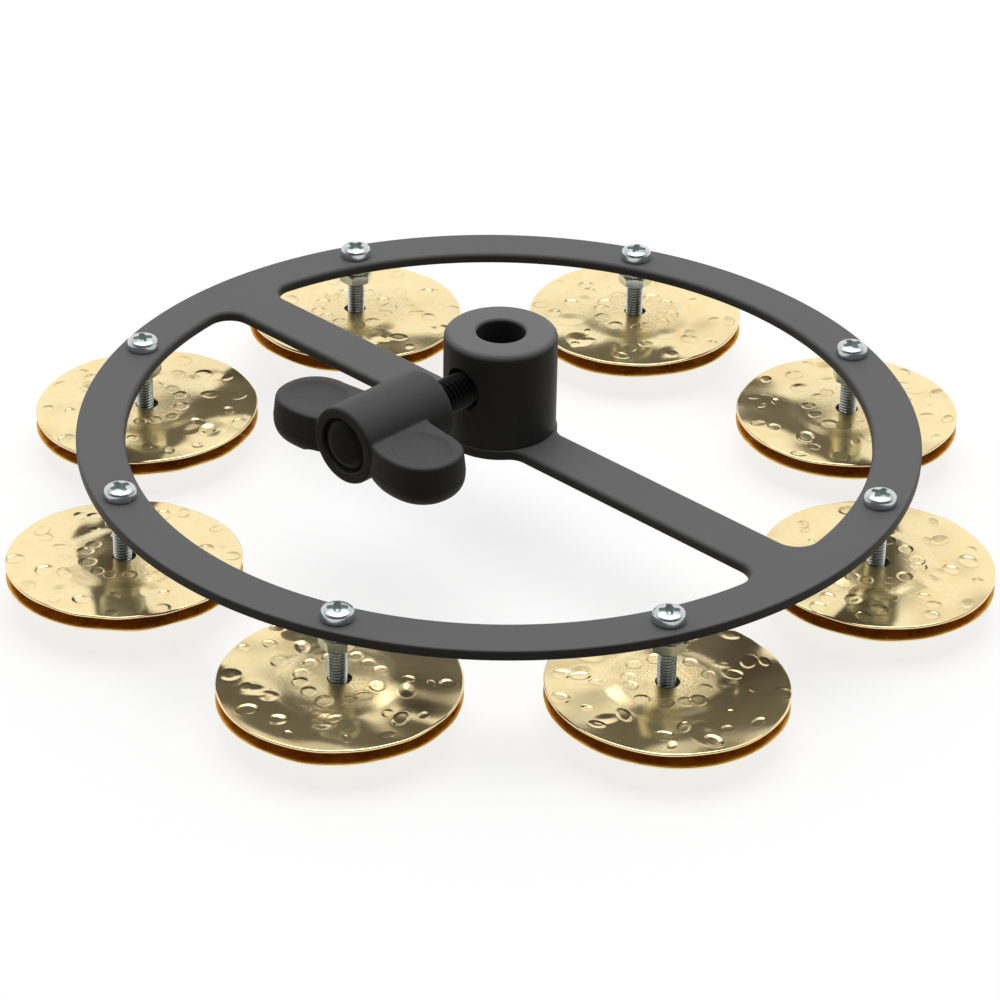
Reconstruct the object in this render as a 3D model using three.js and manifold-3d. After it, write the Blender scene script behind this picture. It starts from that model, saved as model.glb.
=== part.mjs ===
// Hi-hat tambourine: a flat black ring with a crossbar and a clamp hub, and eight pairs of
// brass jingles that ride loose on screws under the ring. Millimetres, +Z up.
// The origin is on the hub's axis, level with the screw tips, on which the part stands.
// The crossbar lies along X and the wing bolt comes out of the hub towards -Y.

import * as THREE from 'three';
import { mergeVertices } from 'three/addons/utils/BufferGeometryUtils.js';
import Module from 'manifold-3d';

const wasm = await Module();
wasm.setup();

// Frame plate: the ring, the crossbar and the round pad under the hub are one flat piece
const ringDiameter = 186;
const ringBand = 10.8;
const plateThickness = 2.3;
const barWidth = 12.6;
const barFillet = 5;
const padDiameter = 25.6;
const padFillet = 4;

// Hub: a turned bush whose spigot goes through the plate
const hubDiameter = 25;
const hubHeight = 23;
const hubEdgeRound = 1.6;
const boreDiameter = 10.6;
const boreEdgeRound = 0.9;
const spigotDiameter = 15;
const clampAxisRise = 12.85;
const countersinkWidth = 0.9;
const countersinkDepth = 1.5;

// Clamp bolt
const boltDiameter = 8;
const boltTipWall = 1.2;
const boltTipChamfer = 1;
const boltHold = 15;

// Wing handle: a barrel with two thick thumb lobes
const barrelDiameter = 17.4;
const barrelLength = 25.6;
const wingStandoff = 9.5;
const lobeOffset = 15.8;
const lobeSetback = 7.6;
const lobeReach = 9.1;
const lobeRootReach = 12;
const lobeHalfDepth = 8.5;
const lobeRootFlare = 1.6;
const lobeExponent = 2.2;
const lobeRise = 3.15;
const lobeDrop = 6.65;
const lobeTopEdge = 0.6;
const lobeTopFillet = 2;
const partingDrop = 2.05;
const partingSwell = 0.5;
const undersideRound = 3.1;
const archDrop = 4.2;
const archRadius = 4;
const dishLength = 14.2;
const dishWidth = 12.4;
const dishDepth = 0.9;

// Domed boss that stands in a round pocket of the barrel's front face
const bossDiameter = 10.8;
const bossRim = 0.7;
const bossDome = 1.1;
const pocketDiameter = 12.4;
const pocketDepth = 1.6;

// Jingle screws: cross-recessed pan head screws
const screwCount = 8;
const screwDiameter = 4;
const screwLength = 25;
const screwTipChamfer = 0.5;
const headDiameter = 7;
const headHeight = 2.7;
const headSideHeight = 1.3;
const headExponent = 3;
const recessSpan = 4.6;
const recessWidth = 1.1;
const recessDepth = 1.7;

// Washers and nut that lock each screw to the ring
const flatWasherDiameter = 9;
const flatWasherThickness = 0.8;
const springWasherDiameter = 7;
const springWasherThickness = 1;
const springWasherSplit = 0.8;
const nutAcrossFlats = 7;
const hexNutHeight = 2.4;
const nutFaceShare = 0.94;
const nutChamferAngle = 30;

// Lock nut that holds the jingles on: a hexagon with a round collar
const lockNutHexHeight = 3;
const lockNutHeight = 5;
const lockCollarDiameter = 6.3;
const lockCollarRound = 0.7;
const threadShowing = 0.9;

// Jingles and the bushes that keep each pair apart
const jingleDiameter = 50.8;
const jingleThickness = 0.6;
const jinglePlay = 0.5;
const plateauDiameter = 22;
const plateauRise = 0.5;
const spacerDiameter = 6.8;
const spacerHeight = 3.2;

// Clearances
const fitGap = 0.3;
const seatGap = 0.1;
const overrun = 2;

// Faces round each kind of curve, and steps along the arcs of the outlines
const ringSides = 72;
const hubSides = 36;
const boltSides = 24;
const jingleSides = 28;
const headSides = 16;
const smallSides = 12;
const openingSteps = 32;
const padSteps = 10;
const filletSteps = 5;
const barrelSteps = 6;
const edgeSteps = 3;
const dishSteps = 4;

// Which way each screw's recess and each nut happened to stop, in degrees about its screw
const recessTurns = [12, 70, 35, 5, 58, 80, 46, 44];
const hexNutTurns = [8, 21, 40, 3, 52, 27, 46.5, 21.3];
const lockNutTurns = [15, 33, 50, 9, 41, 25, 57, 38];

// Radii and levels that follow from the sizes above
const ringRadius = ringDiameter / 2;
const openingRadius = ringRadius - ringBand;
const screwCircleRadius = ringRadius - ringBand / 2;
const hubRadius = hubDiameter / 2;
const boreRadius = boreDiameter / 2;
const boltRadius = boltDiameter / 2;
const barrelRadius = barrelDiameter / 2;
const screwRadius = screwDiameter / 2;
const plateTop = screwLength;
const plateBottom = plateTop - plateThickness;
const clampAxisLevel = plateTop + clampAxisRise;
const flatWasherLevel = plateBottom - flatWasherThickness;
const springWasherLevel = flatWasherLevel - springWasherThickness;
const hexNutLevel = springWasherLevel - hexNutHeight;
const lockNutLevel = threadShowing;
const lowerPlateauLevel = lockNutLevel + lockNutHeight + seatGap;
const lowerJingleLevel = lowerPlateauLevel + plateauRise;
const spacerLevel = lowerPlateauLevel + jingleThickness + seatGap;
const upperJingleLevel = spacerLevel + spacerHeight + seatGap - plateauRise;

const quarterTurn = Math.PI / 2;
const radians = (degrees) => THREE.MathUtils.degToRad(degrees);

// A geometry as a solid that can be joined and cut
function solidOf(geometry) {
  const plain = geometry.clone();
  plain.deleteAttribute('normal');
  plain.deleteAttribute('uv');
  const merged = mergeVertices(plain);
  const corners = Array.from(merged.index.array);
  const kept = [];
  for (let i = 0; i < corners.length; i += 3) {
    const [a, b, c] = corners.slice(i, i + 3);
    if (a !== b && b !== c && c !== a) kept.push(a, b, c);
  }
  return new wasm.Manifold(new wasm.Mesh({
    numProp: 3,
    vertProperties: new Float32Array(merged.attributes.position.array),
    triVerts: new Uint32Array(kept),
  }));
}

function geometryOf(solid) {
  const mesh = solid.getMesh();
  const geometry = new THREE.BufferGeometry();
  geometry.setAttribute('position', new THREE.BufferAttribute(mesh.vertProperties, 3));
  geometry.setIndex(new THREE.BufferAttribute(mesh.triVerts, 1));
  geometry.computeVertexNormals();
  return geometry;
}

function cut(geometry, ...tools) {
  return geometryOf(tools.reduce((solid, tool) => solid.subtract(solidOf(tool)), solidOf(geometry)));
}

function join(geometry, ...others) {
  return geometryOf(others.reduce((solid, other) => solid.add(solidOf(other)), solidOf(geometry)));
}

function common(geometry, other) {
  return geometryOf(solidOf(geometry).intersect(solidOf(other)));
}

// Points along an arc, both ends included
function arc(x, y, radius, from, to, steps) {
  const points = [];
  for (let i = 0; i <= steps; i += 1) {
    const angle = from + (to - from) * i / steps;
    points.push(new THREE.Vector2(x + radius * Math.cos(angle), y + radius * Math.sin(angle)));
  }
  return points;
}

// A circle as a closed outline, its last point left out because the outline closes by itself
function circle(x, y, radius, sides) {
  return arc(x, y, radius, 0, 2 * Math.PI, sides).slice(0, sides);
}

const mirroredX = (points) => points.map((point) => new THREE.Vector2(-point.x, point.y)).reverse();
const mirroredY = (points) => points.map((point) => new THREE.Vector2(point.x, -point.y)).reverse();

// A flat outline with holes, made thick upwards from z = 0
function slab(outline, thickness, holes = []) {
  const shape = new THREE.Shape(outline);
  shape.holes = holes.map((points) => new THREE.Path(points));
  return new THREE.ExtrudeGeometry(shape, { depth: thickness, bevelEnabled: false });
}

// A profile of [radius, height] pairs, listed from low to high on the outside, turned about Z
function turned(profile, sides) {
  const points = profile.map(([radius, height]) => new THREE.Vector2(radius, height));
  return new THREE.LatheGeometry(points, sides).rotateX(quarterTurn);
}

// A turned ring: a washer, a bush or a collar, standing on z = 0
function bush(outerRadius, innerRadius, height, sides) {
  return turned([
    [innerRadius, 0], [outerRadius, 0], [outerRadius, height], [innerRadius, height], [innerRadius, 0],
  ], sides);
}

// A plain round bar on z = 0
function bar(radius, height, sides) {
  return turned([[0, 0], [radius, 0], [radius, height], [0, height]], sides);
}

function piece(name, geometry, finish) {
  const mesh = new THREE.Mesh(geometry, new THREE.MeshStandardMaterial(finish));
  mesh.name = name;
  return mesh;
}

const blackPaint = { color: 0x2a2b2c, roughness: 0.42, metalness: 0.1 };
const blackMoulding = { color: 0x242527, roughness: 0.62, metalness: 0 };
const blackSteel = { color: 0x141516, roughness: 0.38, metalness: 0.7 };
const zinc = { color: 0xc3c8c6, roughness: 0.24, metalness: 0.95 };
const brass = { color: 0xd9b45b, roughness: 0.2, metalness: 1 };
const blackNylon = { color: 0x1b1c1d, roughness: 0.6, metalness: 0 };

// One of the two openings beside the crossbar: the ring's inside, the bar's edge and the pad
function openingOutline() {
  const edge = barWidth / 2;
  const padRadius = padDiameter / 2;
  const cornerY = edge + barFillet;
  const cornerX = Math.sqrt((openingRadius - barFillet) ** 2 - cornerY ** 2);
  const cornerAngle = Math.atan2(cornerY, cornerX);
  const neckY = edge + padFillet;
  const neckX = Math.sqrt((padRadius + padFillet) ** 2 - neckY ** 2);
  const neckAngle = Math.atan2(neckY, neckX);
  return [
    ...arc(cornerX, cornerY, barFillet, -quarterTurn, cornerAngle, filletSteps),
    ...arc(0, 0, openingRadius, cornerAngle, Math.PI - cornerAngle, openingSteps).slice(1, -1),
    ...arc(-cornerX, cornerY, barFillet, Math.PI - cornerAngle, 3 * quarterTurn, filletSteps),
    ...arc(-neckX, neckY, padFillet, -quarterTurn, -neckAngle, edgeSteps),
    ...arc(0, 0, padRadius, Math.PI - neckAngle, neckAngle, padSteps).slice(1, -1),
    ...arc(neckX, neckY, padFillet, Math.PI + neckAngle, 3 * quarterTurn, edgeSteps),
  ];
}

function stationAngle(index) {
  return 2 * Math.PI * (index + 0.5) / screwCount;
}

function framePlate() {
  const holes = [openingOutline(), mirroredY(openingOutline())];
  for (let i = 0; i < screwCount; i += 1) {
    const x = screwCircleRadius * Math.cos(stationAngle(i));
    const y = screwCircleRadius * Math.sin(stationAngle(i));
    holes.push(circle(x, y, screwRadius + fitGap, smallSides));
  }
  holes.push(circle(0, 0, spigotDiameter / 2 + fitGap, hubSides));
  const outline = circle(0, 0, ringRadius, ringSides);
  const mesh = piece('frame_plate', slab(outline, plateThickness, holes), blackPaint);
  mesh.position.z = plateBottom;
  return mesh;
}

// The hub stands on the plate; its profile runs round the wall from the spigot's foot and back
function hub() {
  const cornerRadius = hubRadius - hubEdgeRound;
  const cornerLevel = hubHeight - hubEdgeRound;
  const corner = arc(cornerRadius, cornerLevel, hubEdgeRound, 0, quarterTurn, edgeSteps);
  const mouthRadius = boreRadius + boreEdgeRound;
  const mouthLevel = hubHeight - boreEdgeRound;
  const mouth = arc(mouthRadius, mouthLevel, boreEdgeRound, quarterTurn, 2 * quarterTurn, edgeSteps);
  const body = turned([
    [boreRadius, -plateThickness],
    [spigotDiameter / 2, -plateThickness],
    [spigotDiameter / 2, 0],
    [hubRadius, 0],
    ...corner.map((point) => point.toArray()),
    ...mouth.map((point) => point.toArray()),
    [boreRadius, -plateThickness],
  ], hubSides);
  const throat = boltRadius + fitGap;
  const sink = turned([
    [0, 0],
    [throat, 0],
    [throat, hubRadius - countersinkDepth],
    [throat + countersinkWidth, hubRadius],
    [throat + countersinkWidth, hubRadius + overrun],
    [0, hubRadius + overrun],
  ], boltSides).rotateX(quarterTurn).translate(0, 0, clampAxisRise);
  const mesh = piece('hub', cut(body, sink), blackPaint);
  mesh.position.z = plateTop;
  return mesh;
}

// The bolt lies along Y: its tip stops inside the hub's wall and its tail is held in the wing
function clampBolt() {
  const length = hubRadius - boreRadius - boltTipWall + wingStandoff + boltHold;
  const profile = [
    [0, 0],
    [boltRadius, 0],
    [boltRadius, length - boltTipChamfer],
    [boltRadius - boltTipChamfer, length],
    [0, length],
  ];
  const mesh = piece('clamp_bolt', turned(profile, boltSides).rotateX(-quarterTurn), blackSteel);
  mesh.position.set(0, -boreRadius - boltTipWall - length, clampAxisLevel);
  return mesh;
}

// Half of the wing's limits seen along its barrel: the barrel, the fillet on the lobe's top and the
// arch under the lobe's root. Beyond the lobe's tip and below it they are left wide.
function wingFrontHalf() {
  const beyond = lobeOffset + lobeReach + overrun;
  const topY = lobeRise + lobeTopFillet;
  const topX = Math.sqrt((barrelRadius + lobeTopFillet) ** 2 - topY ** 2);
  const topAngle = Math.atan2(topY, topX);
  const archY = archDrop + archRadius;
  const archX = Math.sqrt((barrelRadius + archRadius) ** 2 - archY ** 2);
  const archAngle = Math.atan2(archY, archX);
  return [
    ...arc(0, 0, barrelRadius, quarterTurn, topAngle, barrelSteps),
    ...arc(topX, topY, lobeTopFillet, Math.PI + topAngle, 3 * quarterTurn, edgeSteps).slice(1),
    new THREE.Vector2(beyond, lobeRise),
    new THREE.Vector2(beyond, -archY),
    ...arc(archX, -archY, archRadius, 0, Math.PI - archAngle, filletSteps),
    ...arc(0, 0, barrelRadius, -archAngle, -quarterTurn, barrelSteps).slice(1),
  ];
}

// The right lobe seen from above, grown all round: an oval whose inner end widens into the barrel
function lobeOutline(grow) {
  const centreY = lobeSetback - barrelLength;
  const depth = lobeHalfDepth + grow;
  const rounded = (share) => Math.max(share, 0) ** (2 / lobeExponent);
  const rootX = boltRadius;
  const points = [];
  for (let i = 0; i < filletSteps; i += 1) {
    const x = rootX + (lobeOffset - rootX) * i / filletSteps;
    const share = ((lobeOffset - x) / lobeRootReach) ** lobeExponent;
    points.push(new THREE.Vector2(x, centreY - depth * (1 - share) ** (1 / lobeExponent)));
  }
  for (const point of arc(0, 0, 1, -quarterTurn, quarterTurn, 2 * filletSteps)) {
    points.push(new THREE.Vector2(
      lobeOffset + (lobeReach + grow) * rounded(point.x),
      centreY + depth * Math.sign(point.y) * rounded(Math.abs(point.y)),
    ));
  }
  points.push(new THREE.Vector2(rootX, centreY + depth + lobeRootFlare));
  return points;
}

// A solid through flat outlines that lie one above the other and have as many points each
function stacked(outlines, levels) {
  const count = outlines[0].length;
  const corners = outlines.flatMap((outline, row) => outline.flatMap(({ x, y }) => [x, y, levels[row]]));
  const top = count * (outlines.length - 1);
  const faces = [];
  for (let start = 0; start < top; start += count) {
    for (let i = 0; i < count; i += 1) {
      const next = (i + 1) % count;
      faces.push(start + i, start + next, start + count + next);
      faces.push(start + i, start + count + next, start + count + i);
    }
  }
  for (let i = 1; i < count - 1; i += 1) {
    faces.push(0, i + 1, i);
    faces.push(top, top + i, top + i + 1);
  }
  const geometry = new THREE.BufferGeometry();
  geometry.setAttribute('position', new THREE.Float32BufferAttribute(corners, 3));
  geometry.setIndex(faces);
  return geometry;
}

// A lobe is widest at its parting line, rounded below it and bevelled at its top edge
function lobe(mirror) {
  const grown = arc(0, 0, 1, -quarterTurn, 0, filletSteps).map((point) => [
    partingSwell - undersideRound * (1 - point.x),
    -partingDrop + (lobeDrop - partingDrop) * point.y,
  ]);
  grown.push([0, lobeRise - lobeTopEdge], [-lobeTopEdge, lobeRise]);
  const outlines = grown.map(([grow]) => mirror(lobeOutline(grow)));
  return stacked(outlines, grown.map(([, level]) => level));
}

// A shallow bowl for the thumb, with its rim level with the lobe's top
function dish(side) {
  const profile = [];
  for (let i = 0; i <= dishSteps; i += 1) {
    const share = i / dishSteps;
    profile.push([share, dishDepth * (share ** 2 - 1)]);
  }
  profile.push([1, overrun], [0, overrun]);
  return turned(profile, boltSides)
    .scale(dishLength / 2, dishWidth / 2, 1)
    .translate(side * lobeOffset, lobeSetback - barrelLength, lobeRise);
}

// The domed boss, from just inside the pocket's floor out towards -Y
function boss() {
  const radius = bossDiameter / 2;
  const dome = arc(0, 0, 1, 0, quarterTurn, edgeSteps).map(
    (point) => [radius * point.x, bossRim + bossDome * point.y]);
  return turned([[0, -seatGap], [radius, -seatGap], ...dome], boltSides).rotateX(quarterTurn);
}

function wingHandle() {
  const frontHalf = wingFrontHalf();
  const front = [...frontHalf, ...mirroredX(frontHalf).slice(1, -1)];
  const limits = slab(front, barrelLength + overrun).rotateX(quarterTurn);
  const lobes = join(lobe((points) => points), lobe(mirroredX));
  const barrel = bar(barrelRadius, barrelLength, hubSides).rotateX(quarterTurn);
  const pocketFloor = -barrelLength + pocketDepth;
  const pocket = bar(pocketDiameter / 2, pocketDepth + overrun, boltSides)
    .rotateX(quarterTurn).translate(0, pocketFloor, 0);
  const socket = bar(boltRadius + fitGap, boltHold + fitGap + overrun, boltSides)
    .rotateX(quarterTurn).translate(0, overrun, 0);
  const hollowed = cut(join(common(lobes, limits), barrel), pocket, socket, dish(1), dish(-1));
  const geometry = join(hollowed, boss().translate(0, pocketFloor, 0));
  const mesh = piece('wing_handle', geometry, blackMoulding);
  mesh.position.set(0, -hubRadius - wingStandoff, clampAxisLevel);
  return mesh;
}

// Screw with its tip on z = 0: chamfered tip, shank, pan head with a low crown and a cross recess
function screwGeometry(turn) {
  const headRadius = headDiameter / 2;
  const top = screwLength + headHeight;
  const shoulder = headHeight - headSideHeight;
  const flattened = (share) => share ** (2 / headExponent);
  const crown = arc(0, 0, 1, 0, quarterTurn, edgeSteps).slice(1).map((point) => [
    headRadius * flattened(point.x),
    screwLength + headSideHeight + shoulder * flattened(point.y),
  ]);
  const body = turned([
    [0, 0],
    [screwRadius - screwTipChamfer, 0],
    [screwRadius, screwTipChamfer],
    [screwRadius, screwLength],
    [headRadius, screwLength],
    [headRadius, screwLength + headSideHeight],
    ...crown,
  ], headSides);
  const slot = new THREE.BoxGeometry(recessSpan, recessWidth, recessDepth + overrun)
    .translate(0, 0, top - recessDepth + (recessDepth + overrun) / 2);
  return cut(body, slot, slot.clone().rotateZ(quarterTurn)).rotateZ(radians(turn));
}

// Hexagon whose corners are turned off by a cone at the faces that are asked for
function hexagon(height, topChamfer, bottomChamfer) {
  const cornerRadius = nutAcrossFlats / Math.sqrt(3);
  const faceRadius = nutAcrossFlats / 2 * nutFaceShare;
  const depth = (cornerRadius - faceRadius) * Math.tan(radians(nutChamferAngle));
  const prism = bar(cornerRadius, height, 6);
  const cone = turned([
    [0, 0],
    ...(bottomChamfer ? [[faceRadius, 0], [cornerRadius, depth]] : [[cornerRadius, 0]]),
    ...(topChamfer ? [[cornerRadius, height - depth], [faceRadius, height]] : [[cornerRadius, height]]),
    [0, height],
  ], smallSides).scale(1 / Math.cos(Math.PI / smallSides), 1 / Math.cos(Math.PI / smallSides), 1);
  return common(prism, cone);
}

const threadHole = (height) => bar(screwRadius + fitGap, height + 2 * overrun, smallSides)
  .translate(0, 0, -overrun);

function hexNutGeometry(turn) {
  return cut(hexagon(hexNutHeight, true, true), threadHole(hexNutHeight)).rotateZ(radians(turn));
}

// The lock nut's hexagon is on top, against the jingle, and its collar hangs below
function lockNutGeometry(turn) {
  const collarHeight = lockNutHeight - lockNutHexHeight;
  const collarRadius = lockCollarDiameter / 2;
  const collar = turned([
    [0, 0],
    [collarRadius - lockCollarRound, 0],
    [collarRadius, lockCollarRound],
    [collarRadius, collarHeight + seatGap],
    [0, collarHeight + seatGap],
  ], smallSides);
  const hex = hexagon(lockNutHexHeight, false, true).translate(0, 0, collarHeight);
  return cut(join(hex, collar), threadHole(lockNutHeight)).rotateZ(radians(turn));
}

// The spring washer is under the flat one; both are one solid, and the split is in the lower
function washersGeometry(turn) {
  const hole = screwRadius + fitGap;
  const flat = bush(flatWasherDiameter / 2, hole, flatWasherThickness + seatGap, smallSides)
    .translate(0, 0, springWasherThickness - seatGap);
  const spring = bush(springWasherDiameter / 2, hole, springWasherThickness, smallSides);
  const splitHeight = springWasherThickness - seatGap + overrun;
  const split = new THREE.BoxGeometry(springWasherDiameter, springWasherSplit, splitHeight)
    .translate(springWasherDiameter / 2, 0, springWasherThickness - seatGap - splitHeight / 2);
  return join(cut(spring, split), flat).rotateZ(radians(turn));
}

// Disc with a level middle that stands a little above its rim
function jingleGeometry() {
  const hole = screwRadius + jinglePlay;
  const plateau = plateauDiameter / 2;
  const rim = jingleDiameter / 2;
  return turned([
    [hole, plateauRise],
    [plateau, plateauRise],
    [rim, 0],
    [rim, jingleThickness],
    [plateau, plateauRise + jingleThickness],
    [hole, plateauRise + jingleThickness],
    [hole, plateauRise],
  ], jingleSides);
}

// A screw and everything that is on it, in a group on the screw's axis
function station(index) {
  const number = index + 1;
  const group = new THREE.Group();
  const place = (name, geometry, finish, level) => {
    const mesh = piece(`${name}_${number}`, geometry, finish);
    mesh.position.z = level;
    group.add(mesh);
  };
  const spacer = bush(spacerDiameter / 2, screwRadius + fitGap, spacerHeight, smallSides);
  const lowerJingle = jingleGeometry().rotateX(Math.PI).translate(0, 0, jingleThickness);
  place('screw', screwGeometry(recessTurns[index]), zinc, 0);
  place('washers', washersGeometry(lockNutTurns[index]), zinc, springWasherLevel);
  place('hex_nut', hexNutGeometry(hexNutTurns[index]), zinc, hexNutLevel);
  place('jingle_upper', jingleGeometry(), brass, upperJingleLevel);
  place('jingle_spacer', spacer, blackNylon, spacerLevel);
  place('jingle_lower', lowerJingle, brass, lowerJingleLevel);
  place('lock_nut', lockNutGeometry(lockNutTurns[index]), zinc, lockNutLevel);
  const angle = stationAngle(index);
  group.position.set(screwCircleRadius * Math.cos(angle), screwCircleRadius * Math.sin(angle), 0);
  return group;
}

const tambourine = new THREE.Group();
tambourine.add(framePlate(), hub(), clampBolt(), wingHandle());
for (let i = 0; i < screwCount; i += 1) tambourine.add(station(i));

export default tambourine;
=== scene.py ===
# The looks of the hi-hat tambourine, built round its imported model.
# Shapes are worked out in millimetres in the model's own frame, and each piece is scaled to
# metres when it is placed.

import math
from collections import namedtuple

import bmesh
import bpy
import numpy as np
from mathutils import Matrix, Vector
from mathutils.geometry import tessellate_polygon


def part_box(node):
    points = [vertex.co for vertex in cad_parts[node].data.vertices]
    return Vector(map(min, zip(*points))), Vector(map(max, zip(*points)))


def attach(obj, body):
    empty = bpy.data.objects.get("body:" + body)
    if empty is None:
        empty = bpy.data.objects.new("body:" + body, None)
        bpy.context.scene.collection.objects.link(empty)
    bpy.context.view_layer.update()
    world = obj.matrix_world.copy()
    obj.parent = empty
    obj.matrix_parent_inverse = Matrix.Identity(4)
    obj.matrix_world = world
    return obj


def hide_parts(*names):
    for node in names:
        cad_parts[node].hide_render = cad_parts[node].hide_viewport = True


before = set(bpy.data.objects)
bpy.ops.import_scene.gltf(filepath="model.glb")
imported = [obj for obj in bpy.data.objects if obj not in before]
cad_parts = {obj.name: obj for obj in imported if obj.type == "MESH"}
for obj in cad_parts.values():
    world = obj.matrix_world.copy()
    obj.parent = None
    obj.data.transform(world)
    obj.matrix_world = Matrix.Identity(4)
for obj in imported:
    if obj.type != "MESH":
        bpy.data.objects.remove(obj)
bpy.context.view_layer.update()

MM = 0.001
TURN = 2 * math.pi
QUARTER = math.pi / 2
STATIONS = range(1, 9)

# Meshing: the angles up to which faces shade as one, the distance at which points are merged, and how
# far a cutting piece reaches past what it cuts
SMOOTH_ANGLE = math.radians(32)
PLATE_ANGLE = math.radians(40)
HUB_ANGLE = math.radians(35)
HEAD_ANGLE = math.radians(38)
NUT_ANGLE = math.radians(24)
THIN_ANGLE = math.radians(50)
MERGE_DISTANCE = 1e-4
OVERRUN = 2.0

# The photograph's view, in metres
CAMERA_PLACE = (0.500451, -0.519647, 0.430931)
CAMERA_RIGHT = (0.714133, 0.699831, 0.015823)
CAMERA_UP = (-0.365507, 0.353508, 0.861067)
CAMERA_FORWARD = (-0.597008, 0.620700, -0.508245)
CAMERA_LENS = 135.0
CAMERA_SENSOR = 36.0
CAMERA_REACH = 20

# Frame plate
BAR_WIDTH = 12.6
BAR_FILLET = 5.0
PAD_RADIUS = 12.8
PAD_FILLET = 4.0
RING_BAND = 10.8
OUTER_EDGE_ROUND = 0.5
OPENING_EDGE_ROUND = 1.1
PAD_EDGE_ROUND = 0.45
LOWER_EDGE_ROUND = 0.25
HUB_HOLE_CLEARANCE = 0.3
HUB_HOLE_ROUND = 0.1
SCREW_HOLE_RADIUS = 2.3
SCREW_HOLE_ROUND = 0.15

# Hub and clamp bolt
HUB_EDGE_ROUND = 1.6
HUB_FOOT_ROUND = 0.35
BORE_RADIUS = 5.3
BORE_MOUTH_ROUND = 0.9
SPIGOT_RADIUS = 7.5
SPIGOT_ROUND = 0.2
CLAMP_HOLE_RADIUS = 4.3
CLAMP_SINK_RADIUS = 5.2
CLAMP_SINK_DEPTH = 1.5
CLAMP_PITCH = 1.25
CLAMP_THREAD_DEPTH = 0.62
CLAMP_THREAD_START = 0.9
CLAMP_THREAD_RUNOUT = 0.5
CLAMP_TIP_CHAMFER = 1.0
CLAMP_TIP_EDGE = (0.2, 0.25)

# Wing handle
BARREL_RADIUS = 8.7
BARREL_LENGTH = 25.6
BARREL_ROUND_BACK = 2.0
BARREL_ROUND_FRONT = 0.7
LOBE_OFFSET = 15.8
LOBE_SETBACK = 7.6
LOBE_REACH = 9.1
LOBE_ROOT_REACH = 12.0
LOBE_HALF_DEPTH = 8.5
LOBE_ROOT_FLARE = 1.6
LOBE_EXPONENT = 2.2
LOBE_RISE = 3.15
LOBE_DROP = 6.65
LOBE_TOP_EDGE = 0.75
LOBE_TOP_FILLET = 2.0
LOBE_ROOT_RADIUS = 4.0
ARCH_DROP = 5.1
ARCH_RADIUS = 5.0
UNDERSIDE_ROUND = 3.1
DISH_LENGTH = 14.6
DISH_WIDTH = 12.8
DISH_DEPTH = 0.95
DISH_FLARE_SHARE = 1.06
DISH_LIP = 0.3
PARTING_DROP = 2.05
PARTING_SWELL = 0.5
PARTING_STEP = 0.06
PARTING_STEP_WIDTH = 0.2
PARTING_STEP_REACH = 2.6
PARTING_STEP_FADE = 2.0
PARTING_GROOVE = 0.2
PARTING_GROOVE_WIDTH = 0.22
PARTING_CLEARANCE = 0.5
PARTING_FADE = 1.5
WING_VOXEL = 0.26
WING_SMOOTHING = 6
POCKET_RADIUS = 6.25
POCKET_DEPTH = 1.6
SOCKET_RADIUS = 4.2
SOCKET_DEPTH = 15.2
BOSS_RADIUS = 5.75
BOSS_EDGE = 0.8
BOSS_EDGE_ROUND = 0.35
BOSS_DOME = 1.2
BOSS_SHOULDER_SHARES = (0.7, 0.72)
BOSS_SHOULDER_ROUND = 2.5

# Screws; the crown runs from its first to its last angle
THREAD_PITCH = 0.7
THREAD_DEPTH = 0.38
THREAD_ROOT_SHARE = 0.1
THREAD_FLANK_SHARE = 0.72
SCREW_RADIUS = 2.0
SCREW_THREAD_START = 0.45
SCREW_THREAD_RUNOUT = 0.4
SCREW_TIP_CHAMFER = 0.5
SCREW_TIP_EDGE = (0.15, 0.18)
HEAD_GROWTH = 0.05
HEAD_SIDE = 1.3
HEAD_EXPONENT = 3.0
HEAD_FOOT_ROUND = 0.25
CROWN_ANGLES = (0.02, QUARTER - 0.001)
RECESS_ARM = 2.3
RECESS_HALF_WIDTH = 0.7
RECESS_END_ROUND = 0.4
RECESS_CORNER_ROUND = 0.6
RECESS_DEPTH = 1.5
RECESS_MOUTH_SHARE = 1.15
RECESS_TAPER_SHARE = 0.6
RECESS_OVERRUN = 0.6
RECESS_POINT = 0.35
RECESS_WALL_FACING = 0.8

# Nuts and washers
NUT_FLATS = 7.0
NUT_FACE = NUT_FLATS / 2 * 0.95
NUT_CHAMFER = math.radians(30)
NUT_HOLE_RADIUS = 2.05
NUT_SINK = 0.3
FLAT_WASHER_RADIUS = 4.5
WASHER_CLEARANCE = 0.1
WASHER_ROUNDS = (0.08, 0.18, 0.1, 0.08)
SPRING_RADIUS = 3.5
SPRING_HEIGHT = 1.0
SPRING_GAP = math.radians(14)
SPRING_LEAD = 0.32
SPRING_WIRE_ROUND = 0.12
COLLAR_RADIUS = 3.15
COLLAR_ROUND = 0.35
COLLAR_HEIGHT = 2.0
INSERT_RADIUS = 2.75
INSERT_HEIGHT = 1.3
INSERT_LIP = 0.1
NYLON_GRIP = 0.02
NYLON_SINK = 0.12
NYLON_TAPER = 0.06
NYLON_TOP_GAP = 0.05
NYLON_ROUND = 0.15
NYLON_EDGE_ROUND = 0.2
SPACER_RADIUS = 3.4
SPACER_CLEARANCE = 0.15
SPACER_ROUNDS = (0.15, 0.3, 0.3, 0.15)

# How far each screw and nut is turned, in degrees
RECESS_TURNS = (12, 70, 35, 5, 58, 80, 46, 44)
HEX_TURNS = (8, 21, 40, 3, 52, 27, 46.5, 21.3)
LOCK_TURNS = (15, 33, 50, 9, 41, 25, 57, 38)

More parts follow.
